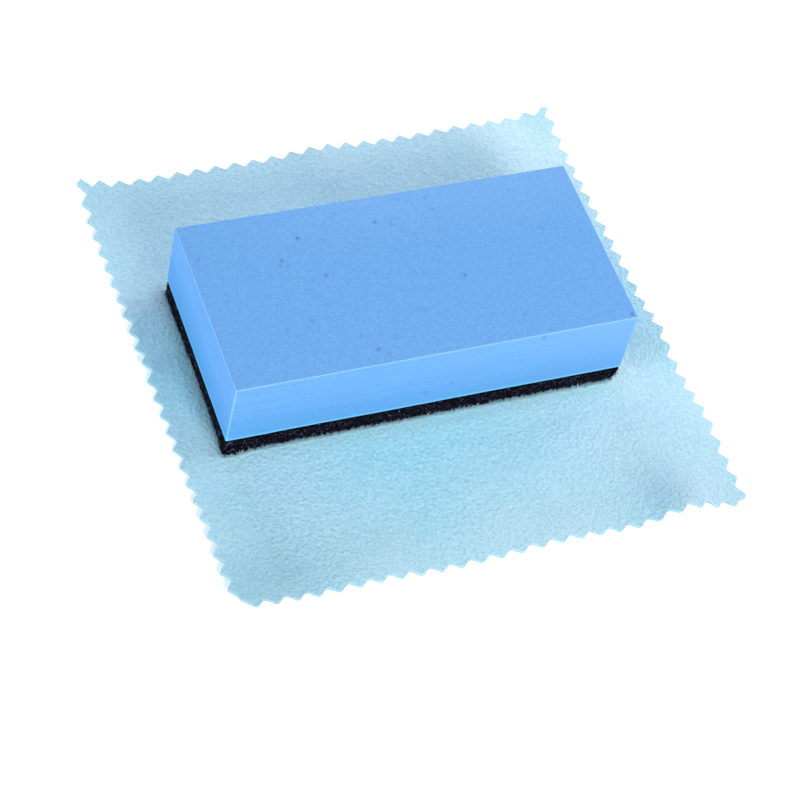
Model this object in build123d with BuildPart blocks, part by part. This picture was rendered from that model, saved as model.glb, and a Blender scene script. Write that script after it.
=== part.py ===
from build123d import *
import os

# Coating applicator lying on its wrapping cloth, in millimetres. A foam grip block has a felt layer
# bonded under it by a thin adhesive film, and the block rests loose on a pinked suede cloth.
# The origin is on the surface the cloth lies on, under the middle of the cloth. +Z is up, X runs
# along the block's long edges to its right end, and +Y points away from the front.

# Driving dimensions: the block
BLOCK_LENGTH = 80.0
BLOCK_WIDTH = 39.0
BLOCK_CENTRE = (-2.5, 1.8)
FOAM_HEIGHT = 15.6
FOAM_EDGE_RADIUS = 0.3     # a knife-cut edge that has only lost its sharpness
FILM_THICKNESS = 0.2
FILM_INSET = 0.4           # the film stops this far inside the block's edges
FELT_THICKNESS = 4.2
FELT_EDGE_RADIUS = 0.5     # loose fibres round the felt's free edges off
FELT_SLANT = 1.0           # the felt's right end is cut at a slant: this far in at the bottom

# Driving dimensions: the cloth
CLOTH_THICKNESS = 0.6
BLANK_SIDE = 120.0         # the cloth before its four edges are pinked
TOOTH_PITCH = 4.01
TOOTH_DEPTH = 1.7
CUT_HALF_LENGTH = 15       # in teeth: every cut runs out past both corners
# One cut for each side, anticlockwise from the right: how far from the middle its tooth tips lie,
# how many degrees it is off square with the block, and how far a tip lies along it.
CUTS = (
    (51.4, 1.25, 2.3),
    (51.3, 0.7, 2.65),
    (51.8, 0.8, 1.7),
    (51.5, 0.5, 0.4),
)
SNIP_REACH = 69.85         # from the middle to the snip across the front left corner
SNIP_DIRECTION = 225       # degrees, anticlockwise from the right
SPUR_ROOM = 20.0           # more than enough to hold the spur that is snipped off

# Levels, counted up from the surface
cloth_top = CLOTH_THICKNESS
felt_top = cloth_top + FELT_THICKNESS
film_top = felt_top + FILM_THICKNESS

block_left = BLOCK_CENTRE[0] - BLOCK_LENGTH / 2
block_right = BLOCK_CENTRE[0] + BLOCK_LENGTH / 2
block_middle_y = BLOCK_CENTRE[1]

os.makedirs("parts", exist_ok=True)


# Suede cloth: a blank with a zigzag sheared off each side. Each cut runs straight on past the
# corners, so a corner is left as a narrow spur or a blunt tooth, depending on where two cuts meet.
# The spur at the front left is snipped off.
with BuildPart() as suede_cloth:
    with BuildSketch() as pinked_square:
        Rectangle(BLANK_SIDE, BLANK_SIDE)
        for quarter, (reach, turn, tip_shift) in enumerate(CUTS):
            zigzag = []
            for half_tooth in range(-2 * CUT_HALF_LENGTH, 2 * CUT_HALF_LENGTH + 1):
                depth = TOOTH_DEPTH * (half_tooth % 2)
                zigzag.append((reach - depth, tip_shift + half_tooth * TOOTH_PITCH / 2))
            offcut_back = [(BLANK_SIDE, zigzag[-1][1]), (BLANK_SIDE, zigzag[0][1])]
            with Locations(Location((0, 0, 0), (0, 0, 90 * quarter + turn))):
                Polygon(*zigzag, *offcut_back, align=None, mode=Mode.SUBTRACT)
        with Locations(Location((0, 0, 0), (0, 0, SNIP_DIRECTION))):
            with Locations((SNIP_REACH, 0)):
                Rectangle(SPUR_ROOM, SPUR_ROOM, align=(Align.MIN, Align.CENTER), mode=Mode.SUBTRACT)
    extrude(amount=CLOTH_THICKNESS)

suede_cloth.part.label = "suede_cloth"
export_step(suede_cloth.part, "parts/suede_cloth.step")


# Felt pad: the working face. It is flush with the foam all round at the top, and its right end
# slants in below.
with BuildPart() as felt_pad:
    with BuildSketch(Plane.XZ.offset(BLOCK_WIDTH / 2 - block_middle_y)):
        with BuildLine():
            Polyline(
                (block_left, cloth_top),
                (block_right - FELT_SLANT, cloth_top),
                (block_right, felt_top),
                (block_left, felt_top),
                close=True,
            )
        make_face()
    extrude(amount=-BLOCK_WIDTH)
    upright_edges = felt_pad.edges().filter_by(lambda e: e.bounding_box().size.Z > FELT_THICKNESS / 2)
    fillet(upright_edges, radius=FELT_EDGE_RADIUS)
    fillet(felt_pad.faces().sort_by(Axis.Z)[0].edges(), radius=FELT_EDGE_RADIUS)

felt_pad.part.label = "felt_pad"
export_step(felt_pad.part, "parts/felt_pad.step")


# Adhesive film: the hot-melt layer between the felt and the foam
with BuildPart() as adhesive_film:
    with BuildSketch(Plane.XY.offset(felt_top)):
        with Locations(BLOCK_CENTRE):
            Rectangle(BLOCK_LENGTH - 2 * FILM_INSET, BLOCK_WIDTH - 2 * FILM_INSET)
    extrude(amount=FILM_THICKNESS)

adhesive_film.part.label = "adhesive_film"
export_step(adhesive_film.part, "parts/adhesive_film.step")


# Foam block: the grip, cut from closed-cell sheet
with BuildPart() as foam_block:
    with BuildSketch(Plane.XY.offset(film_top)):
        with Locations(BLOCK_CENTRE):
            Rectangle(BLOCK_LENGTH, BLOCK_WIDTH)
    extrude(amount=FOAM_HEIGHT)
    fillet(foam_block.edges(), radius=FOAM_EDGE_RADIUS)

foam_block.part.label = "foam_block"
export_step(foam_block.part, "parts/foam_block.step")
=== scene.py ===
import math

import bmesh
import bpy
import numpy as np
from mathutils import Matrix, Vector, geometry, kdtree, noise


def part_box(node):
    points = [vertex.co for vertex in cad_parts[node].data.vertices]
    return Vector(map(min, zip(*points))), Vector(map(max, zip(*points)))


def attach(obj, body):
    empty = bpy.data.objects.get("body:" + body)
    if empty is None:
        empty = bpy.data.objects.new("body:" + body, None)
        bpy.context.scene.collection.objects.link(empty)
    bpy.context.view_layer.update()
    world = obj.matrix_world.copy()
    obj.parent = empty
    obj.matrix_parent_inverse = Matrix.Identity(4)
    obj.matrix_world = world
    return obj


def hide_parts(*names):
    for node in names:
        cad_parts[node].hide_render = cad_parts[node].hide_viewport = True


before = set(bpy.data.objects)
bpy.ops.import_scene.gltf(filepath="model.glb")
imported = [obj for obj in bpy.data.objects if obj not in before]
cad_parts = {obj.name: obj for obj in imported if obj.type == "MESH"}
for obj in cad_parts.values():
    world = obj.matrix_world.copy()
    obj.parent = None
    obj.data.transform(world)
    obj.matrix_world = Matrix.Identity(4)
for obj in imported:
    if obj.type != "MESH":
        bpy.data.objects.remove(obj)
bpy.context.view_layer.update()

# A coating applicator lying on its suede cloth: a light-blue foam grip over a dark felt face, on a
# pinked square of pale cyan suede. Lengths are in metres and written as a number of MM.
MM = 0.001
foam_low, foam_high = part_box("foam_block")
felt_low, felt_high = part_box("felt_pad")
cloth_low, cloth_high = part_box("suede_cloth")


# ---------------------------------------------------------------- camera and light

# The view of the photograph. The block isn't quite in the middle of the picture.
AZIMUTH, ELEVATION, ROLL = math.radians(-31.9), math.radians(52.17), math.radians(-15.46)
CAMERA_DISTANCE = 495.7 * MM
BLOCK_RIGHT_OF_MIDDLE = -1.0 * MM
BLOCK_ABOVE_MIDDLE = 14.7 * MM
LENS_MM = 115.84
SENSOR_MM = 36.0


def direction(azimuth, elevation):
    """Unit vector to a viewer at that azimuth, where 0 looks along +Y, and elevation."""
    flat = math.cos(elevation)
    return Vector((math.sin(azimuth) * flat, -math.cos(azimuth) * flat, math.sin(elevation)))


def add_camera():
    back = direction(AZIMUTH, ELEVATION)
    level_right = Vector((math.cos(AZIMUTH), math.sin(AZIMUTH), 0))
    level_up = back.cross(level_right)
    up = level_up * math.cos(ROLL) + level_right * math.sin(ROLL)
    right = up.cross(back)
    block = Vector(((foam_low.x + foam_high.x) / 2, (foam_low.y + foam_high.y) / 2, foam_low.z))
    place = block + back * CAMERA_DISTANCE - right * BLOCK_RIGHT_OF_MIDDLE - up * BLOCK_ABOVE_MIDDLE
    data = bpy.data.cameras.new("camera")
    data.sensor_width = SENSOR_MM
    data.lens = LENS_MM
    data.clip_start = 10 * MM
    camera = bpy.data.objects.new("camera", data)
    camera.matrix_world = Matrix((
        (right.x, up.x, back.x, place.x),
        (right.y, up.y, back.y, place.y),
        (right.z, up.z, back.z, place.z),
        (0, 0, 0, 1),
    ))
    bpy.context.scene.collection.objects.link(camera)
    bpy.context.scene.camera = camera


LIGHT_DISTANCE = 900 * MM
SOFTBOX_WIDTH = 320 * MM
# Round softboxes: azimuth and elevation in degrees, watts, colour
SOFTBOXES = {
    "front": (5, 35, 5.0, (1.0, 0.96, 0.87)),
    "front_low": (15, 15, 1.9, (0.95, 1.0, 0.88)),
    "right": (90, 35, 4.2, (0.95, 1.0, 0.95)),
    "back_right": (120, 15, 3.8, (1.0, 0.76, 0.8)),
    "back": (180, 15, 5.3, (1.0, 0.96, 0.99)),
    "left": (-75, 15, 5.3, (0.76, 0.96, 1.0)),
}
SKY_STRENGTH = 0.34
SKY_COLOUR = (0.92, 0.98, 1.14, 1)
# The light on level paper is this many times what makes it white, so soft shadows stay off it
STUDIO = 1.35


def add_lights():
    for name, (azimuth, elevation, power, colour) in SOFTBOXES.items():
        data = bpy.data.lights.new(name, "AREA")
        data.shape = "DISK"
        data.size = SOFTBOX_WIDTH
        data.energy = power
        data.color = colour
        towards = direction(math.radians(azimuth), math.radians(elevation))
        light = bpy.data.objects.new(name, data)
        light.location = towards * LIGHT_DISTANCE
        light.rotation_euler = towards.to_track_quat("Z", "Y").to_euler()
        bpy.context.scene.collection.objects.link(light)
    world = bpy.data.worlds.new("studio")
    world.use_nodes = True
    background = world.node_tree.nodes["Background"]
    background.inputs["Color"].default_value = SKY_COLOUR
    background.inputs["Strength"].default_value = SKY_STRENGTH
    bpy.context.scene.world = world
    bpy.context.scene.view_settings.view_transform = "Standard"


# ---------------------------------------------------------------- materials

def seen(red, green, blue):
    """The base colour that looks like this on screen, 0 to 255 each, in the studio's light."""
    colour = []
    for share in (red / 255, green / 255, blue / 255):
        linear = share / 12.92 if share <= 0.04045 else ((share + 0.055) / 1.055) ** 2.4
        colour.append(linear / STUDIO)
    return colour + [1.0]


def new_material(name, roughness):
    """A material with its shader, and the constants set on the shader's own sockets."""
    material = bpy.data.materials.new(name)
    material.use_nodes = True
    shader = material.node_tree.nodes["Principled BSDF"]
    shader.inputs["Roughness"].default_value = roughness
    return material, material.node_tree, shader


def grain(tree, size, stretch=(1, 1, 1), detail=2.0, distortion=0.0):
    """Noise with grains about size across, drawn out along each axis by stretch."""
    place = tree.nodes.new("ShaderNodeTexCoord")
    scaled = tree.nodes.new("ShaderNodeMapping")
    scaled.inputs["Scale"].default_value = [1 / (size * s) for s in stretch]
    texture = tree.nodes.new("ShaderNodeTexNoise")
    texture.inputs["Scale"].default_value = 1.0
    texture.inputs["Detail"].default_value = detail
    texture.inputs["Distortion"].default_value = distortion
    tree.links.new(place.outputs["Object"], scaled.inputs["Vector"])
    tree.links.new(scaled.outputs["Vector"], texture.inputs["Vector"])
    return texture.outputs["Fac"]


def cells(tree, size):
    """Distance to the nearest point of a scatter of points about size apart."""
    place = tree.nodes.new("ShaderNodeTexCoord")
    texture = tree.nodes.new("ShaderNodeTexVoronoi")
    texture.inputs["Scale"].default_value = 1 / size
    tree.links.new(place.outputs["Object"], texture.inputs["Vector"])
    return texture.outputs["Distance"]


def stored(tree, name):
    """A value stored on the mesh's points."""
    attribute = tree.nodes.new("ShaderNodeAttribute")
    attribute.attribute_name = name
    return attribute.outputs["Fac"]


def remap(tree, value, low, high, to_low=0.0, to_high=1.0):
    """value, from low to high, spread from to_low to to_high and held there beyond."""
    node = tree.nodes.new("ShaderNodeMapRange")
    node.inputs["From Min"].default_value = low
    node.inputs["From Max"].default_value = high
    node.inputs["To Min"].default_value = to_low
    node.inputs["To Max"].default_value = to_high
    tree.links.new(value, node.inputs["Value"])
    return node.outputs["Result"]


def times(tree, one, other):
    """The product of two values."""
    node = tree.nodes.new("ShaderNodeMath")
    node.operation = "MULTIPLY"
    tree.links.new(one, node.inputs[0])
    tree.links.new(other, node.inputs[1])
    return node.outputs["Value"]


def mixed(tree, factor, base, over, how="MIX"):
    """base with over laid on it where factor is 1. Each is a colour or a socket."""
    node = tree.nodes.new("ShaderNodeMix")
    node.data_type = "RGBA"
    node.blend_type = how
    tree.links.new(factor, node.inputs["Factor"])
    for socket, colour in ((node.inputs["A"], base), (node.inputs["B"], over)):
        if isinstance(colour, bpy.types.NodeSocket):
            tree.links.new(colour, socket)
        else:
            socket.default_value = colour
    return node.outputs["Result"]


def bumped(tree, shader, layers, strength=None):
    """Bump from layers of (height socket, depth), the coarsest first, each weakened by strength."""
    normal = None
    for height, depth in layers:
        node = tree.nodes.new("ShaderNodeBump")
        node.inputs["Distance"].default_value = depth
        tree.links.new(height, node.inputs["Height"])
        if strength is not None:
            tree.links.new(strength, node.inputs["Strength"])
        if normal is not None:
            tree.links.new(normal, node.inputs["Normal"])
        normal = node.outputs["Normal"]
    tree.links.new(normal, shader.inputs["Normal"])


# What the foam's colour is multiplied by low on its sides, near the cloth: painted shade, with a cast of
# the cyan light off the cloth
LOW_SHADE_TINT = (0.76, 0.95, 0.98, 1)


def foam_material():
    """Closed-cell foam: a fine matt grain, pores with painted shade inside, faint streaks left by the
    knife on its sides, painted highlights along its edges and foot, painted light on the back right of
    the top and upper right of the front, and painted shade low on the sides."""
    material, tree, shader = new_material("foam", 0.85)
    body, dark, light = seen(111, 171, 235), seen(100, 159, 226), seen(123, 181, 243)
    pale, foot_highlight_colour, pore = seen(163, 207, 249), seen(116, 208, 254), seen(48, 106, 186)
    fine = grain(tree, 0.45 * MM, detail=2)
    on_side = stored(tree, "side")
    strength = remap(tree, on_side, 0, 1, 0.6, 0.3)
    colour = mixed(tree, times(tree, remap(tree, fine, 0.5, 0.68), strength), body, light)
    colour = mixed(tree, times(tree, remap(tree, fine, 0.34, 0.5, 1, 0), strength), colour, dark)
    cloud = remap(tree, grain(tree, 6 * MM, detail=3), 0.35, 0.7, 0, 0.05)
    colour = mixed(tree, cloud, colour, dark)
    streak = grain(tree, 0.7 * MM, stretch=(40, 40, 1), detail=3)
    colour = mixed(tree, times(tree, remap(tree, streak, 0.48, 0.7, 0, 0.28), on_side), colour, light)
    colour = mixed(tree, times(tree, remap(tree, streak, 0.3, 0.48, 0.3, 0), on_side), colour, dark)
    # Painted shade low on the sides, near the cloth
    colour = mixed(tree, stored(tree, "low"), colour, LOW_SHADE_TINT, "MULTIPLY")
    # Painted light on the back right of the top and the upper right of the front
    colour = mixed(tree, remap(tree, stored(tree, "foam_painted_light"), 0, 1, 0, 0.17), colour, pale)
    # Painted highlight along the rounded edges
    colour = mixed(tree, remap(tree, stored(tree, "edge_highlight"), 0.1, 0.9, 0, 0.55), colour, pale)
    # Painted highlight along the foot of the sides
    colour = mixed(tree, remap(tree, stored(tree, "foot_highlight"), 0.3, 1, 0, 0.75), colour, foot_highlight_colour)
    # Painted shade inside the pores
    colour = mixed(tree, stored(tree, "pore"), colour, pore)
    tree.links.new(colour, shader.inputs["Base Color"])
    shader.inputs["Specular IOR Level"].default_value = 0.12
    bumped(tree, shader, [
        (grain(tree, 1.1 * MM, detail=2), 0.015 * MM),
        (fine, 0.025 * MM),
    ])
    return material


def felt_material():
    """Needled felt: near-black violet fibres with a few paler ones lying over them."""
    material, tree, shader = new_material("felt", 1.0)
    deep, body, pale = seen(2, 2, 6), seen(6, 6, 14), seen(88, 88, 126)
    colour = mixed(tree, remap(tree, grain(tree, 0.6 * MM, detail=3), 0.4, 0.6), deep, body)
    fleck = remap(tree, grain(tree, 0.32 * MM, detail=1), 0.6, 0.7, 0, 0.85)
    colour = mixed(tree, fleck, colour, pale)
    tree.links.new(colour, shader.inputs["Base Color"])
    shader.inputs["Specular IOR Level"].default_value = 0.05
    bumped(tree, shader, [
        (grain(tree, 0.8 * MM, detail=3), 0.3 * MM),
        (grain(tree, 0.25 * MM, detail=2), 0.1 * MM),
    ])
    return material


def fibre_material(name, dark, light):
    """Single fibres, each a shade of its own between dark and light."""
    material, tree, shader = new_material(name, 0.9)
    tree.links.new(mixed(tree, stored(tree, "shade"), dark, light), shader.inputs["Base Color"])
    shader.inputs["Specular IOR Level"].default_value = 0.1
    return material


# The nap's colour under painted light and painted shade, for a base colour of 1
PAINTED_LIGHT_TINT = (1.75, 1.55, 1.37, 1)
PAINTED_SHADE_TINT = (0.72, 0.76, 0.8, 1)


def suede_material():
    """Microfibre suede: a short brushed nap in small lighter and darker tufts, with a sheen, and painted
    light and shade laid on its colour.
    """
    material, tree, shader = new_material("suede", 0.95)
    body, cool, light = seen(184, 222, 240), seen(156, 219, 239), seen(199, 234, 249)
    dark, fluff, cut = seen(154, 200, 220), seen(222, 240, 250), seen(96, 150, 172)
    # Cooler in random patches, and as a painted tint of shade
    colour = mixed(tree, stored(tree, "cooler"), body, cool)
    tuft = grain(tree, 0.58 * MM, detail=3, distortion=0.15)
    pebble = remap(tree, cells(tree, 0.9 * MM), 0, 0.7, 1, 0)
    colour = mixed(tree, remap(tree, tuft, 0.5, 0.68, 0, 0.5), colour, light)
    colour = mixed(tree, remap(tree, tuft, 0.32, 0.5, 0.5, 0), colour, dark)
    paler = stored(tree, "paler")
    # Painted light where paler is above 0, painted shade below 0
    colour = mixed(tree, remap(tree, paler, 0, 1.5), colour, PAINTED_LIGHT_TINT, "MULTIPLY")
    colour = mixed(tree, remap(tree, paler, -1, 0, 1, 0), colour, PAINTED_SHADE_TINT, "MULTIPLY")
    lint = remap(tree, cells(tree, 2.4 * MM), 0.02, 0.08, 0.8, 0.0)
    colour = mixed(tree, lint, colour, fluff)
    # Painted highlight along the cut
    colour = mixed(tree, remap(tree, stored(tree, "edge_highlight"), 0.2, 1, 0, 0.3), colour, light)
    # Darker on the cut face: its own backing, with painted shade between the fibres
    colour = mixed(tree, remap(tree, stored(tree, "cut_face_backing_and_shade"), 0, 1, 0, 0.6), colour, cut)
    tree.links.new(colour, shader.inputs["Base Color"])
    shader.inputs["Sheen Weight"].default_value = 0.25
    shader.inputs["Sheen Roughness"].default_value = 0.5
    shader.inputs["Specular IOR Level"].default_value = 0.1
    # The bump is weaker where painted light lies
    less_bump_in_painted_light = remap(tree, paler, 0, 0.36, 1, 0.35)
    pressed_flat = remap(tree, stored(tree, "flat"), 0, 1, 1, 0.6)
    bumped(tree, shader, [
        (grain(tree, 1.6 * MM, detail=2), 0.08 * MM),
        (pebble, 0.09 * MM),
        (tuft, 0.26 * MM),
    ], times(tree, less_bump_in_painted_light, pressed_flat))
    return material


def film_material():
    """Set hot-melt film: nearly black where the felt shows through it, and as painted shade in the gap
    under the foam's edge; a little glossy.
    """
    material, tree, shader = new_material("adhesive", 0.45)
    cloud = remap(tree, grain(tree, 3 * MM, detail=3), 0.3, 0.7)
    tree.links.new(mixed(tree, cloud, seen(6, 6, 12), seen(20, 21, 32)), shader.inputs["Base Color"])
    bumped(tree, shader, [(grain(tree, 1.5 * MM, detail=3), 0.05 * MM)])
    return material


def floor_material():
    """Plain white paper on a light table, which keeps faint shadows off it."""
    material, tree, shader = new_material("floor", 0.9)
    tooth = remap(tree, grain(tree, 1 * MM, detail=2), 0.3, 0.7)
    white = mixed(tree, tooth, (0.94, 0.94, 0.94, 1), (0.96, 0.96, 0.96, 1))
    tree.links.new(white, shader.inputs["Base Color"])
    shader.inputs["Emission Color"].default_value = (1, 1, 1, 1)
    shader.inputs["Emission Strength"].default_value = 0.28
    return material


# ---------------------------------------------------------------- mesh tools

def mesh_object(name, points, faces, material, stored_values=()):
    """An object from points and faces, with smooth shading and values stored on its points."""
    mesh = bpy.data.meshes.new(name)
    mesh.from_pydata([tuple(p) for p in points], [], [tuple(f) for f in faces])
    mesh.update()
    for label, values in dict(stored_values).items():
        layer = mesh.attributes.new(label, "FLOAT", "POINT")
        layer.data.foreach_set("value", np.asarray(values, np.float32))
    mesh.shade_smooth()
    mesh.materials.append(material)
    made = bpy.data.objects.new(name, mesh)
    bpy.context.scene.collection.objects.link(made)
    return made


def smooth_step(value):
    """0 below 0, 1 above 1, and a soft ramp between."""
    held = np.clip(value, 0, 1)
    return held * held * (3 - 2 * held)


SEED_SHIFT = (17.3, 5.1, 9.7)  # each seed's noise is taken this much further along


def noise_at(points, size, seed):
    """Smooth noise from -1 to 1 with lumps about size across, one value for each point."""
    shift = Vector([seed * step for step in SEED_SHIFT])
    return np.array([noise.noise(Vector(p) / size + shift) for p in points])


def lumps(points, layers):
    """Noise added up from layers of (size, depth in MM, seed), one value for each point."""
    return sum(noise_at(points, size, seed) * depth * MM for size, depth, seed in layers)


def pairs_round(items):
    """Each item with the next one, all the way round."""
    return zip(items, items[1:] + items[:1])


def ruled(low, high, radius, step):
    """Grid lines from low to high: close together round both edges, and step apart between."""
    quarter_turn = np.linspace(0, math.pi / 2, 5)
    edge = [radius * (1 - math.cos(angle)) for angle in quarter_turn[:-1]]
    count = max(2, round((high - low - 2 * radius) / step))
    middle = np.linspace(low + radius, high - radius, count + 1)
    return [low + e for e in edge] + list(middle) + [high - e for e in reversed(edge)]


def soft_box(low, high, radius, steps):
    """Points, faces and outward normals of a closed box with rounded edges, gridded all over."""
    lines = [ruled(low[i], high[i], radius, steps[i]) for i in range(3)]
    ends = [len(line) - 1 for line in lines]
    index, points = {}, []

    def point(key):
        if key not in index:
            index[key] = len(points)
            points.append([lines[axis][key[axis]] for axis in range(3)])
        return index[key]

    faces = []
    for axis in range(3):
        across, along = (axis + 1) % 3, (axis + 2) % 3
        for end in (0, ends[axis]):
            for a in range(ends[across]):
                for b in range(ends[along]):
                    corners = []
                    for da, db in ((0, 0), (1, 0), (1, 1), (0, 1)):
                        key = [0, 0, 0]
                        key[axis], key[across], key[along] = end, a + da, b + db
                        corners.append(point(tuple(key)))
                    faces.append(corners if end else corners[::-1])
    points = np.array(points)
    core = np.clip(points, np.array(low) + radius, np.array(high) - radius)
    outward = points - core
    outward /= np.linalg.norm(outward, axis=1)[:, None]
    return core + outward * radius, faces, outward


FIBRE_TAPER = 0.6           # how much thinner a fibre's tip is than its root


def fibres(name, roots, headings, lengths, curls, radius, shades, material):
    """Thin closed tubes, one from each root, that run along its heading and bend by its curl."""
    sides, joints = 3, 5
    spare = np.where(np.abs(headings[:, 2:]) < 0.9, [[0.0, 0.0, 1.0]], [[1.0, 0.0, 0.0]])
    first = np.cross(headings, spare)
    first /= np.linalg.norm(first, axis=1)[:, None]
    second = np.cross(headings, first)
    rings = []
    for joint in range(joints):
        run = joint / (joints - 1)
        middle = roots + (headings * run + curls * run * run) * lengths[:, None]
        thick = radius * (1 - FIBRE_TAPER * run)
        for side in range(sides):
            angle = 2 * math.pi * side / sides
            rings.append(middle + thick * (first * math.cos(angle) + second * math.sin(angle)))
    points = np.stack(rings, axis=1).reshape(-1, 3)
    skin = []
    for joint in range(joints - 1):
        for side in range(sides):
            a, b = joint * sides + side, joint * sides + (side + 1) % sides
            skin.append((a, b, b + sides, a + sides))
    last = (joints - 1) * sides
    caps = [(2, 1, 0), (last, last + 1, last + 2)]
    faces = []
    for fibre in range(len(roots)):
        base = fibre * joints * sides
        faces += [tuple(base + k for k in face) for face in skin + caps]
    return mesh_object(name, points, faces, material, {"shade": np.repeat(shades, joints * sides)})


# ---------------------------------------------------------------- suede cloth

FELT_SLANT = 1.0 * MM       # how far in the felt's right end is at the bottom
FELT_SPLAY = 0.55 * MM      # how far its front left corner spreads there
SPLAY_REACH = 5 * MM
SAME_POINT = 0.001 * MM     # points nearer to each other than this are one
CLOTH_GRAIN = 0.55 * MM     # how far apart the cloth's points are
EDGE_CLEARANCE = 0.33 * MM  # how far the inner points stay from the outline
ROW_CLEARANCE = 0.5 * MM    # and from the felt's foot, where rows of points follow the dent's bend
DENT_ROWS = (-0.3 * MM, -0.1 * MM, 0.05 * MM, 0.3 * MM)  # how far outside the foot each row is
TIP_ROUNDING = 0.25         # the share of the way that each point moves to its neighbours' middle
FRONT_ROUNDING = 0.45       # and how much more of it along the front edge
FRONT_START = 0.75          # which starts this far forward of the middle, of 1 at the very front
FRONT_FADE = 0.2
EDGE_HIGHLIGHT_WIDTH = 0.35 * MM  # how far in from a cut the painted highlight along it reaches
CUT_BULGE = 0.05 * MM       # how far the cut face stands out between the two sides
PRESSED_FLAT = 9 * MM       # how far from the block the cloth reaches its full rise
LIP_HEIGHT = 0.5 * MM       # how much the cloth swells round the dent that the block presses in it
LIP_GAIN = 0.5              # the share by which it swells more at the block's right end
LIP_START = -0.2 * MM       # the swelling starts under the felt's rounded edge
LIP_RISE = 0.25 * MM        # how wide its steep inner side is
LIP_OUTSIDE = 7 * MM        # how far outside the foot it ends
WAVES = ((17 * MM, 0.22 * MM, 1), (6 * MM, 0.10 * MM, 2))  # low waves: size, height, seed
NAP_LUMPS = ((1.4 * MM, 0.05, 3),)                         # nap in relief: size, depth in MM, seed
PRESSED_RISE = 0.1 * MM     # cloth that is raised less than this has its nap pressed smooth
COOL_SIZE, COOL_SEED = 12 * MM, 4                          # patches of cooler colour
SHARP_ANGLE = math.radians(60)                             # steeper bends are shaded as edges

# Where the cloth stands off the table: across and back from its middle, -1 to 1; how high; and how
# far the rise reaches across and back
RISES = (
    (-1.00, 1.04, 3.4 * MM, 6 * MM, 7 * MM),
    (-0.02, 1.00, 1.2 * MM, 7 * MM, 16 * MM),
    (0.58, 1.00, 0.3 * MM, 6 * MM, 12 * MM),
    (0.98, 1.04, 2.5 * MM, 6 * MM, 7 * MM),
    (0.75, -0.97, 3.0 * MM, 6.5 * MM, 9 * MM),
    (0.25, -0.99, 1.2 * MM, 11 * MM, 9 * MM),
    (-0.45, -0.99, 1.1 * MM, 9 * MM, 9 * MM),
    (-0.89, -1.01, 2.0 * MM, 13 * MM, 10 * MM),
    (0.98, -0.60, 1.6 * MM, 10 * MM, 7 * MM),
    (0.98, -0.16, 1.6 * MM, 9 * MM, 5 * MM),
    (-0.98, 0.10, 1.1 * MM, 6 * MM, 3 * MM),
    (-0.98, 0.30, 0.4 * MM, 6 * MM, 6 * MM),
    (-0.98, -0.62, 0.9 * MM, 7 * MM, 6 * MM),
)

# Painted light and shade on the nap: across and back from the middle, -1 to 1; how much paler, as
# painted light, or deeper below 0, as painted shade; how much cooler, as a painted tint of shade, or
# warmer below 0; and how far that reaches
PAINTED_NAP_LIGHT = (
    (0.95, 0.95, 0.43, -0.25, 20 * MM),
    (0.95, -0.60, 0.10, -0.35, 17 * MM),
    (0.85, -0.95, -0.4, 0.0, 12 * MM),
    (0.88, 0.00, -0.25, 0.3, 10 * MM),
    (-0.10, -0.50, 0.09, 0.50, 20 * MM),
    (0.15, -0.95, 0.12, -0.2, 18 * MM),
    (-0.50, -0.90, 0.18, -0.1, 14 * MM),
    (-0.90, -0.95, -0.5, 0.1, 14 * MM),
    (-0.85, 0.05, -0.1, 0.5, 12 * MM),
    (0.00, 1.00, 0.05, -0.1, 38 * MM),
)
PAINTED_LIGHT_IN_FRONT = 0.3            # how much painted light makes the nap paler right in front of the block
PAINTED_SHADE_AT_LEFT = 0.75         # how much painted shade makes it deeper right beside the block's left end
PAINTED_STRIP_WIDTH = 1.8 * MM    # how wide the strip of painted light is, and half of how wide the painted shade is
PAINTED_STRIP_FADE = 0.3 * MM
FLAT_START = 4 * MM         # the nap lies flatter from here in front of the block's back face
FLAT_FADE = 6 * MM


def cut_outline():
    """The pinked outline of the CAD cloth's upper face, in order, as 2D points."""
    mesh = bmesh.new()
    mesh.from_mesh(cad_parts["suede_cloth"].data)
    bmesh.ops.remove_doubles(mesh, verts=mesh.verts, dist=SAME_POINT)
    upper = [f for f in mesh.faces if f.normal.z > 0.9]
    rim = {}
    for face in upper:
        for loop in face.loops:
            if sum(other in upper for other in loop.edge.link_faces) == 1:
                rim[loop.vert] = loop.link_loop_next.vert
    start = next(iter(rim))
    outline, at = [start.co.xy.copy()], rim[start]
    while at is not start:
        outline.append(at.co.xy.copy())
        at = rim[at]
    mesh.free()
    return outline


def corner_splay(x, y):
    """How far the felt's foot spreads near its front left corner."""
    corner = np.hypot(x - felt_low.x, y - felt_low.y)
    return FELT_SPLAY * np.exp(-(corner / SPLAY_REACH) ** 2)


def foot_gap(x, y):
    """How far each place is outside the felt's foot, or, below 0, inside it."""
    splay = corner_splay(x, y)
    gap_x = np.maximum(felt_low.x - splay - x, x - felt_high.x + FELT_SLANT)
    gap_y = np.maximum(felt_low.y - splay - y, y - felt_high.y)
    outside = np.hypot(np.maximum(gap_x, 0), np.maximum(gap_y, 0))
    return np.where(outside > 0, outside, np.maximum(gap_x, gap_y))


def foot_corners(gap):
    """The corners of the felt's foot, moved out by gap, before the front left one spreads."""
    low_x, high_x = felt_low.x - gap, felt_high.x - FELT_SLANT + gap
    low_y, high_y = felt_low.y - gap, felt_high.y + gap
    return [Vector(c) for c in ((low_x, low_y), (high_x, low_y), (high_x, high_y), (low_x, high_y))]


def finely_divided(corners):
    """The closed outline through the corners, with a point about every grain of the cloth."""
    outline = []
    for a, b in pairs_round(corners):
        parts = max(1, round((b - a).length / CLOTH_GRAIN))
        outline += [a.lerp(b, part / parts) for part in range(parts)]
    return outline


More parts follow.
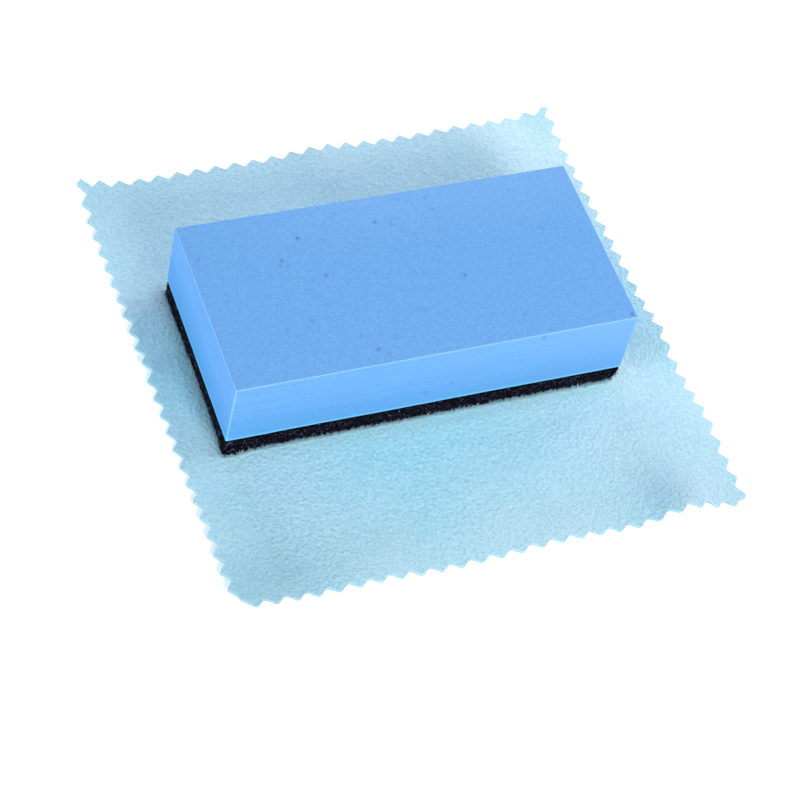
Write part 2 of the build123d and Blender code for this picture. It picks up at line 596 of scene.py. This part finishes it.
def foot_ring(gap):
    """Places all round the felt's foot, that far outside it."""
    ring = finely_divided(foot_corners(gap))
    return [spot - Vector((1, 1)) * corner_splay(spot.x, spot.y) for spot in ring]


def tip_rounding(spot):
    """How far the tooth tips and notches are worn round there: 0 is not at all."""
    front = float(smooth_step((-spot.y / cloth_high.y - FRONT_START) / FRONT_FADE))
    return TIP_ROUNDING + FRONT_ROUNDING * front


def worn_outline():
    """The pinked outline, finely divided, with its tips and notches worn a little round."""
    outline = finely_divided(cut_outline())
    around = zip(outline[-1:] + outline[:-1], outline, outline[1:] + outline[:1])
    return [at.lerp((before + after) / 2, tip_rounding(at)) for before, at, after in around]


def lip_height(x):
    """How high the cloth swells beside the block, this far across it."""
    right_share = np.clip((x - felt_low.x) / (felt_high.x - felt_low.x), 0, 1)
    return LIP_HEIGHT * (1 + LIP_GAIN * right_share)


def cloth_height(flat_points):
    """How far the cloth's underside stands off the table at each point."""
    x, y = flat_points[:, 0], flat_points[:, 1]
    half_x, half_y = cloth_high.x, cloth_high.y
    height = np.zeros(len(x))
    for across, back, rise, reach_x, reach_y in RISES:
        away = ((x - across * half_x) / reach_x) ** 2 + ((y - back * half_y) / reach_y) ** 2
        height += rise * np.exp(-away)
    on_table = np.c_[x, y, np.zeros(len(x))]
    for size, wave, seed in WAVES:
        height += wave * (1 + noise_at(on_table, size, seed)) / 2
    gap = foot_gap(x, y)
    lip = lip_height(x) * smooth_step((gap - LIP_START) / LIP_RISE)
    lip = lip * (1 - smooth_step(gap / LIP_OUTSIDE))
    return height * smooth_step(gap / PRESSED_FLAT) + lip


def painted_nap_light_and_tone(points):
    """How much paler, -1 to 1.5, and how much cooler, 0 to 1, the nap looks at each point: paler as
    painted light, deeper below 0 as painted shade, and cooler in random patches and as a painted tint of
    shade.
    """
    paler = np.zeros(len(points))
    # Random patches of cooler tone; the table adds a painted tint of shade, or of light where it is
    # warmer
    cooler = 0.3 + 0.3 * noise_at(points, COOL_SIZE, COOL_SEED)
    for across, back, more_light, more_cool, reach in PAINTED_NAP_LIGHT:
        away = np.hypot(points[:, 0] - across * cloth_high.x, points[:, 1] - back * cloth_high.y)
        fade = np.exp(-(away / reach) ** 2)
        paler += more_light * fade
        cooler += more_cool * fade
    gap = foot_gap(points[:, 0], points[:, 1])
    in_front = smooth_step((felt_low.y - points[:, 1]) / PAINTED_STRIP_FADE)
    at_left = smooth_step((felt_low.x - points[:, 0]) / PAINTED_STRIP_FADE) * (1 - in_front)
    # A strip of painted light in front of the block, and painted shade beside its left end
    paler += PAINTED_LIGHT_IN_FRONT * in_front * (1 - smooth_step(gap / PAINTED_STRIP_WIDTH))
    paler -= PAINTED_SHADE_AT_LEFT * at_left * (1 - smooth_step(gap / (2 * PAINTED_STRIP_WIDTH)))
    return np.clip(paler, -1, 1.5), np.clip(cooler, 0, 1)


def lying_flat(points):
    """How flat the nap lies: 0 in front of the block, rising to 1 behind it."""
    return smooth_step((points[:, 1] - felt_high.y + FLAT_START) / FLAT_FADE)


def inner_spots(edge_points):
    """A triangle grid of points that stays clear of the outline and of the rows along the foot."""
    spots = []
    row_height = CLOTH_GRAIN * math.sqrt(3) / 2
    for row in range(int((cloth_high.y - cloth_low.y) / row_height)):
        shift = row % 2 / 2
        for column in range(int((cloth_high.x - cloth_low.x) / CLOTH_GRAIN)):
            x = cloth_low.x + (column + shift) * CLOTH_GRAIN
            spot = Vector((x, cloth_low.y + row * row_height))
            off_the_edge = edge_points.find(spot.to_3d())[2] > EDGE_CLEARANCE
            if off_the_edge and abs(foot_gap(spot.x, spot.y)) > ROW_CLEARANCE:
                spots.append(spot)
    for gap in DENT_ROWS:
        spots += foot_ring(gap)
    return spots


def flat_mesh(outline, inner):
    """The points that are used, as an array, and the triangles that fill the outline."""
    inside_only = 1
    loop = list(range(len(outline)))
    made = geometry.delaunay_2d_cdt(outline + inner, [], [loop], inside_only, SAME_POINT)
    spots, triangles = made[0], made[2]
    used = sorted({i for t in triangles for i in t})
    renumber = {old: new for new, old in enumerate(used)}
    return np.array([spots[i] for i in used]), [[renumber[i] for i in t] for t in triangles]


def edge_pairs(triangles):
    """The pairs of points along the edge of the mesh: those that run one way only."""
    pairs = {}
    for a, b, c in triangles:
        pairs.update(dict.fromkeys(((a, b), (b, c), (c, a))))
    return [pair for pair in pairs if (pair[1], pair[0]) not in pairs]


def cut_bulges(flat, rim, middle_height):
    """A point that stands out of the cut face at each point of the rim, and its number by that point."""
    number_of, bulges = {}, []
    follows = dict(rim)
    for before, at in rim:
        after = follows[at]
        along = Vector(flat[after] - flat[before]).normalized()
        number_of[at] = 2 * len(flat) + len(bulges)
        bulges.append((
            flat[at][0] + along.y * CUT_BULGE, flat[at][1] - along.x * CUT_BULGE, middle_height[at]))
    return np.array(bulges), number_of


def add_cloth(material):
    """The cloth as one closed sheet: a fine triangle mesh inside the pinked outline, above and
    below, joined by a rim that bulges a little where the shears cut it."""
    outline = worn_outline()
    edge_points = kdtree.KDTree(len(outline))
    for number, corner in enumerate(outline):
        edge_points.insert(corner.to_3d(), number)
    edge_points.balance()
    flat, triangles = flat_mesh(outline, inner_spots(edge_points))

    thickness = cloth_high.z - cloth_low.z
    height = cloth_height(flat)
    nap = lumps(np.c_[flat, flat[:, 0] * 0], NAP_LUMPS) * smooth_step(height / PRESSED_RISE)
    above, below = np.c_[flat, height + thickness + nap], np.c_[flat, height]
    rim = edge_pairs(triangles)
    bulges, bulge_of = cut_bulges(flat, rim, height + thickness / 2)
    count = len(flat)
    faces = [tuple(t) for t in triangles]
    faces += [tuple(count + i for i in reversed(t)) for t in triangles]
    for a, b in rim:
        faces.append((b, a, bulge_of[a], bulge_of[b]))
        faces.append((bulge_of[b], bulge_of[a], count + a, count + b))

    depth = np.array([edge_points.find((p[0], p[1], 0))[2] for p in flat])
    near_cut = np.clip(1 - depth / EDGE_HIGHLIGHT_WIDTH, 0, 1)
    points = np.concatenate([above, below, bulges])
    paler, cooler = painted_nap_light_and_tone(points)
    cloth = mesh_object("cloth_sheet", points, faces, material, {
        "edge_highlight": np.concatenate([near_cut, near_cut, np.ones(len(bulges))]),
        "cut_face_backing_and_shade": np.concatenate([np.zeros(2 * count), np.ones(len(bulges))]),
        "paler": paler,
        "cooler": cooler,
        "flat": lying_flat(points),
    })
    cloth.data.set_sharp_from_angle(angle=SHARP_ANGLE)
    return cloth


NAP_SEED = 5
NAP_PER_METRE = 20000       # standing fibres for each metre of the felt's foot
NAP_LEFT_SHARE = 0.3        # the share of them that is left along the block's left end
NAP_START = 0.1 * MM        # how far from the felt the nap starts to stand up against it
NAP_REACH = 0.5 * MM        # and how much further it does so
NAP_ROOT = 0.9              # how high the roots are, as a share of the swelling
NAP_LEAN, NAP_CURL = 0.35, 0.2
NAP_LENGTHS = (0.3, 0.9)    # in MM
NAP_RADIUS = 0.045 * MM


def add_nap_fibres(material):
    """Nap of the cloth that stands up round the felt, where the block has pressed the rest flat."""
    draw = np.random.default_rng(NAP_SEED)
    roots, headings = [], []
    for a, b in pairs_round(foot_corners(0)):
        along = (b - a).normalized()
        out = Vector((along.y, -along.x))
        share = NAP_LEFT_SHARE if along.y < 0 else 1.0
        for _ in range(int((b - a).length * NAP_PER_METRE * share)):
            foot = a.lerp(b, draw.random()) + out * (draw.random() * NAP_REACH + NAP_START)
            roots.append((foot.x, foot.y, cloth_high.z + NAP_ROOT * lip_height(foot.x)))
            lean = draw.normal(0, NAP_LEAN, 2)
            headings.append((lean[0], lean[1], 1.0))
    roots, headings = felt_shaped(np.array(roots)), np.array(headings)
    headings /= np.linalg.norm(headings, axis=1)[:, None]
    curls = draw.normal(0, NAP_CURL, headings.shape)
    lengths = draw.uniform(*NAP_LENGTHS, len(roots)) * MM
    shades = draw.random(len(roots))
    return fibres("cloth_nap", roots, headings, lengths, curls, NAP_RADIUS, shades, material)


# ---------------------------------------------------------------- foam block

FOAM_STEP = 0.36 * MM
FOAM_EDGE = 0.32 * MM
PORE_SEED = 7
PORE_DARKEST = 0.27 * MM    # a pore of this radius or more gets the full painted shade inside
PORE_DEPTH = 0.8            # for a radius of 1
PORE_RIM = 1.6 * FOAM_STEP  # points this near to a pore's middle are its rim
PORE_RIM_SHADE = 0.25       # how much painted shade the rim gets, as a share of the middle
FOOT_HIGHLIGHT_HEIGHT = 0.8 * MM     # how far up its sides a painted highlight runs along the foam's foot
FOAM_SPLAY = 0.33 * MM      # how far the front left corner stands out at the bottom
FOAM_LUMPS = ((22 * MM, 0.08, 5), (3 * MM, 0.02, 6))  # size, depth in MM, seed
FOAM_INSET = 0.04 * MM      # how far in the faces lie, so that the lumps stay near the CAD faces
UP, FRONT = (0, 0, 1), (0, -1, 0)
# The pores that stand out: which face, across and up or back from its middle, -1 to 1, and radius
CLEAR_PORES = (
    (UP, -0.45, 0.64, 0.30 * MM),
    (UP, 0.26, -0.13, 0.25 * MM),
    (UP, -0.29, -0.82, 0.25 * MM),
    (UP, -0.39, 0.14, 0.24 * MM),
    (UP, -0.05, 0.68, 0.24 * MM),
    (UP, -0.57, 0.40, 0.22 * MM),
    (UP, 0.97, -0.95, 0.28 * MM),
    (FRONT, 0.51, 0.85, 0.25 * MM),
    (FRONT, -0.04, -0.52, 0.22 * MM),
)
FAINT_PORES = {UP: 30, FRONT: 6, (0, 1, 0): 9, (-1, 0, 0): 3, (1, 0, 0): 4}


def pore_places():
    """Normal, middle and radius of every open pore in the foam's faces."""
    draw = np.random.default_rng(PORE_SEED)
    middle = np.array((foam_low + foam_high) / 2)
    half = np.array((foam_high - foam_low) / 2)
    chosen = list(CLEAR_PORES)
    for normal, count in FAINT_PORES.items():
        for _ in range(count):
            across = draw.uniform(-0.96, 0.96)
            up = draw.uniform(-0.9, 0.9)
            radius = draw.uniform(0.08, 0.15) * MM
            chosen.append((normal, across, up, radius))
    for normal, across, up, radius in chosen:
        place = np.array(normal, float)
        first, second = [axis for axis in range(3) if normal[axis] == 0]
        place[first], place[second] = across, up
        yield np.array(normal, float), middle + half * place, radius


def open_pores(points, outward):
    """Presses the pores into points, and returns how much painted shade each point gets inside them."""
    dark = np.zeros(len(points))
    for normal, place, radius in pore_places():
        on_face = outward @ normal > 0.999
        gap = np.where(on_face, np.linalg.norm(points - place, axis=1), np.inf)
        middle = np.argmin(gap)
        away = points - points[middle]
        reach = np.linalg.norm(away, axis=1)
        rim = on_face & (reach > 0) & (reach < PORE_RIM)
        points[rim] = points[middle] + away[rim] * (radius / reach[rim])[:, None]
        points[middle] -= normal * radius * PORE_DEPTH
        dark[middle] = min(1, radius / PORE_DARKEST)
        dark[rim] = np.maximum(dark[rim], PORE_RIM_SHADE * dark[middle])
    return dark


def add_foam(material):
    """The grip: a knife-cut block whose faces wander a little, with small open pores."""
    points, faces, outward = soft_box(foam_low, foam_high, FOAM_EDGE, [FOAM_STEP] * 3)
    pore = open_pores(points, outward)
    points = points + outward * (lumps(points, FOAM_LUMPS)[:, None] - FOAM_INSET)
    right_share = (points[:, 0] - foam_low.x) / (foam_high.x - foam_low.x)
    back_share = (points[:, 1] - foam_low.y) / (foam_high.y - foam_low.y)
    front_share = (foam_high.y - points[:, 1]) / (foam_high.y - foam_low.y)
    low_share = np.clip((foam_high.z - points[:, 2]) / (foam_high.z - foam_low.z), 0, 1)
    side = 1 - np.abs(outward[:, 2])
    # Painted light: paler on the back right of the top, and on the upper right of the front
    foam_painted_light = 0.8 * outward[:, 2] * smooth_step(2.5 * back_share - 1.5) * smooth_step(2 * right_share)
    foam_painted_light -= outward[:, 1] * right_share * (1 - low_share)
    shades = {
        # Painted highlight along the rounded edges
        "edge_highlight": smooth_step((1 - np.abs(outward).max(axis=1)) / 0.15),
        # Painted shade inside the pores
        "pore": pore,
        "side": side,
        # Painted highlight along the foot of the sides
        "foot_highlight": side * (points[:, 2] < foam_low.z + FOOT_HIGHLIGHT_HEIGHT),
        # Painted shade low on the sides, less towards the right
        "low": side * smooth_step((low_share - 0.3) / 0.6) * (1 - 0.7 * right_share),
        "foam_painted_light": np.clip(foam_painted_light, 0, 1),
    }
    at_left = 1 - smooth_step(right_share / 0.3)
    points[:, 0] -= FOAM_SPLAY * (0.5 + 0.5 * low_share) * front_share * at_left
    return mesh_object("foam_grip", points, faces, material, shades)


# ---------------------------------------------------------------- felt pad

FELT_EDGE = 0.45 * MM
FELT_STEPS = (0.33 * MM, 0.33 * MM, 0.22 * MM)
FELT_LUMPS = ((0.9 * MM, 0.14, 7), (5 * MM, 0.12, 8), (0.5 * MM, 0.08, 9))  # size, depth in MM, seed
FELT_INSET = 0.05 * MM      # how far in the sides lie, so that the lumps stay near the CAD faces
SLANT_REACH = 3 * MM        # how far from the right end the slant starts
FIBRE_SEED = 11
FIBRES_PER_METRE = 22000
FIBRE_ROOT_DEPTH = 0.12 * MM
ROOTS_START, ROOTS_STOP = 0.1 * MM, 0.2 * MM  # how far from the felt's foot and top the roots stay
ROOTS_LOW = 1.6             # above 1, more of them are near the foot
FIBRE_TURN = 0.8            # how far the headings stray from level, in radians
FIBRE_OUT = (0.05, 0.6)     # how far they point out of the wall
FIBRE_BACK = (0.0, 0.3)     # how far the tips bend back to it
FIBRE_CURL = 0.25
FIBRE_LENGTHS = (0.25, 0.7)  # in MM
FIBRE_RADIUS = 0.06 * MM
FIBRE_LOWEST = 0.04 * MM    # how far above the felt's foot the fibres stay
SHADE_POWER = 8             # most fibres are dark, and a few are pale


def felt_shaped(points):
    """Points of a square-cut felt slab moved to the real one's slanted end and splayed corner."""
    moved = points.copy()
    low_share = np.clip((felt_high.z - points[:, 2]) / (felt_high.z - felt_low.z), 0, 1)
    end = smooth_step((points[:, 0] - felt_high.x + SLANT_REACH) / SLANT_REACH)
    moved[:, 0] -= FELT_SLANT * low_share * end
    splay = corner_splay(points[:, 0], points[:, 1]) * low_share
    moved[:, 0] -= splay
    moved[:, 1] -= splay
    return moved


def add_felt(material):
    """The working face: a felt slab with matted, uneven sides and a ragged lower edge."""
    points, faces, outward = soft_box(felt_low, felt_high, FELT_EDGE, FELT_STEPS)
    level = np.abs(outward[:, 2]) > 0.9
    rough = np.where(level, 0, lumps(points, FELT_LUMPS) - FELT_INSET)
    points = felt_shaped(points + outward * rough[:, None])
    points[:, 2] = np.maximum(points[:, 2], felt_low.z)
    return mesh_object("felt_slab", points, faces, material)


def add_felt_fibres(material):
    """Loose fibres lying on the felt's four sides and curling out of its lower edge."""
    draw = np.random.default_rng(FIBRE_SEED)
    upward = np.array((0, 0, 1))
    walls = (
        (felt_low.x, None, (-1, 0, 0)),
        (felt_high.x, None, (1, 0, 0)),
        (None, felt_low.y, (0, -1, 0)),
        (None, felt_high.y, (0, 1, 0)),
    )
    roots, headings, curls = [], [], []
    for wall_x, wall_y, wall_normal in walls:
        normal = np.array(wall_normal)
        run = felt_high.y - felt_low.y if wall_y is None else felt_high.x - felt_low.x
        for _ in range(int(run * FIBRES_PER_METRE)):
            x = draw.uniform(felt_low.x, felt_high.x) if wall_x is None else wall_x
            y = draw.uniform(felt_low.y, felt_high.y) if wall_y is None else wall_y
            up = draw.random() ** ROOTS_LOW
            z = felt_low.z + ROOTS_START + up * (felt_high.z - felt_low.z - ROOTS_START - ROOTS_STOP)
            roots.append((x - normal[0] * FIBRE_ROOT_DEPTH, y - normal[1] * FIBRE_ROOT_DEPTH, z))
            angle = draw.normal(0, FIBRE_TURN) + (math.pi if draw.random() < 0.5 else 0)
            tangent = np.cross(upward, normal) * math.cos(angle) + upward * math.sin(angle)
            heading = tangent + normal * draw.uniform(*FIBRE_OUT)
            headings.append(heading / np.linalg.norm(heading))
            curls.append(-normal * draw.uniform(*FIBRE_BACK) + draw.normal(0, FIBRE_CURL, 3))
    lengths = draw.uniform(*FIBRE_LENGTHS, len(roots)) * MM
    shades = draw.random(len(roots)) ** SHADE_POWER
    roots, headings, curls = np.array(roots), np.array(headings), np.array(curls)
    tips = roots[:, 2] + (headings[:, 2] + curls[:, 2]) * lengths
    curls[:, 2] += (np.clip(tips, felt_low.z + FIBRE_LOWEST, felt_high.z) - tips) / lengths
    roots = felt_shaped(roots)
    return fibres("felt_fibres", roots, headings, lengths, curls, FIBRE_RADIUS, shades, material)


# ---------------------------------------------------------------- the object

add_camera()
add_lights()

cloth = add_cloth(suede_material())
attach(cloth, "cloth")
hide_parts("suede_cloth")
flat_area = abs(sum(a.x * b.y - b.x * a.y for a, b in pairs_round(cut_outline()))) / 2

# The standing nap is paler than the cloth it stands on: painted light against the shade among its fibres
nap = add_nap_fibres(fibre_material("suede_nap", seen(160, 214, 244), seen(226, 249, 255)))
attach(nap, "cloth")

foam = add_foam(foam_material())
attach(foam, "applicator")
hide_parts("foam_block")

felt = add_felt(felt_material())
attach(felt, "applicator")
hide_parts("felt_pad")

felt_fibres = add_felt_fibres(fibre_material("felt_fibre", seen(3, 3, 8), seen(160, 162, 214)))
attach(felt_fibres, "applicator")

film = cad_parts["adhesive_film"]
film.data.materials.clear()
film.data.materials.append(film_material())

FLOOR_HALF = 6000 * MM
floor = mesh_object(
    "floor",
    [(x * FLOOR_HALF, y * FLOOR_HALF, 0) for x, y in ((-1, -1), (1, -1), (1, 1), (-1, 1))],
    [(0, 1, 2, 3)],
    floor_material(),
)
